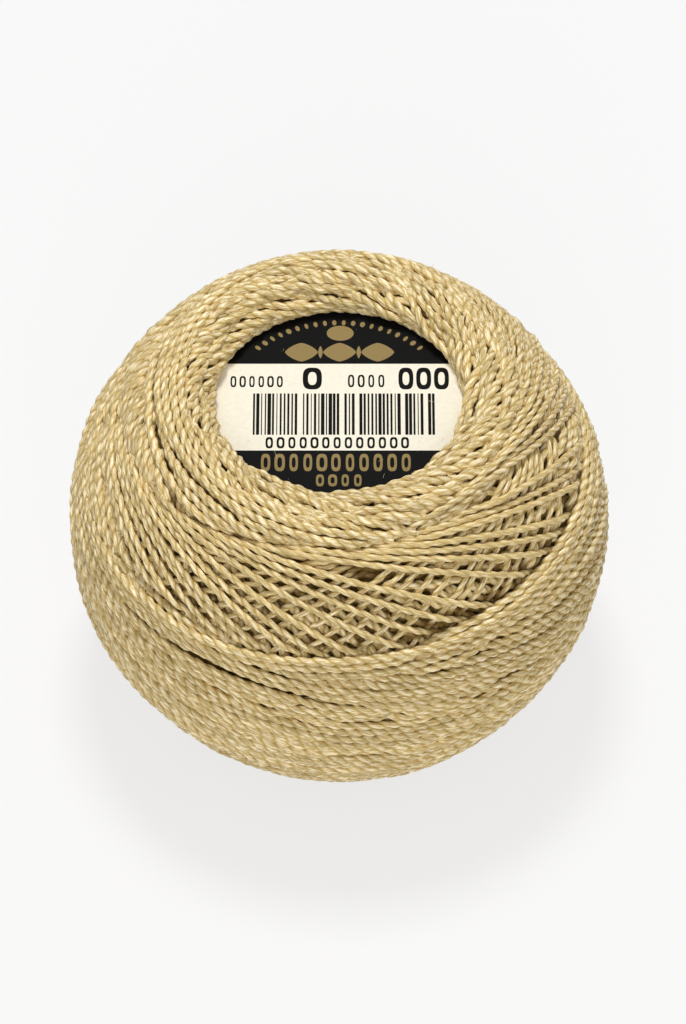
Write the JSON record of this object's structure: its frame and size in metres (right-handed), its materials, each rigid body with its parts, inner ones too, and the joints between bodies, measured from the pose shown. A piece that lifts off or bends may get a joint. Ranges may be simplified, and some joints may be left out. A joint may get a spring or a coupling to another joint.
{
  "type": "ball of pearl cotton thread",
  "caption": "Small machine-wound ball of two-ply cotton thread, with a round hole along its axis closed at the upper end by a sunk card disc.",
  "frame": {"origin": "middle of the flat ring that the ball stands on, where the axis of the hole meets the surface", "axes": "+Z up along the axis of the hole, towards the end with the card disc; +Y is up on the disc's printed face"},
  "size_m": [0.046, 0.046, 0.0348],
  "materials": {
    "cotton": "silky mercerised cotton, beige gold",
    "card": "smooth printed card, black and cream"
  },
  "bodies": {
    "root": {"wound_ball": "cotton", "label_disc": "card"}
  },
  "joints": []
}
